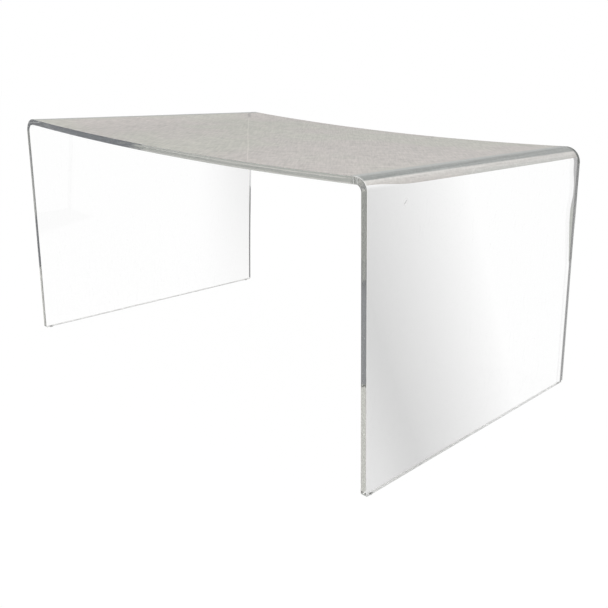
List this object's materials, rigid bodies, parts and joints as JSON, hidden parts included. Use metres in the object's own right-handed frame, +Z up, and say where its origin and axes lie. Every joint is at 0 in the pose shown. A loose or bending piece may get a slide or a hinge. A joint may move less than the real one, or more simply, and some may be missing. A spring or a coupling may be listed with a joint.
{
  "type": "waterfall coffee table",
  "caption": "Clear acrylic coffee table bent from a single sheet: a gently dished top turns through rounded bends into wide legs that stand on small clear bumpers.",
  "frame": {"origin": "on the floor, under the middle of the table", "axes": "+X along the table's length towards the right leg, +Y from the front edge to the back edge, +Z up"},
  "size_m": [0.91, 0.57, 0.432],
  "materials": {
    "clear_acrylic": "polished",
    "clear_polyurethane": "satin",
    "adhesive_film": "matte"
  },
  "bodies": {
    "root": {"waterfall_sheet": "clear_acrylic", "bumper_front_left": "clear_polyurethane", "bumper_back_left": "clear_polyurethane", "bumper_front_right": "clear_polyurethane", "bumper_back_right": "clear_polyurethane", "film_front_left": "adhesive_film", "film_back_left": "adhesive_film", "film_front_right": "adhesive_film", "film_back_right": "adhesive_film"}
  },
  "joints": []
}
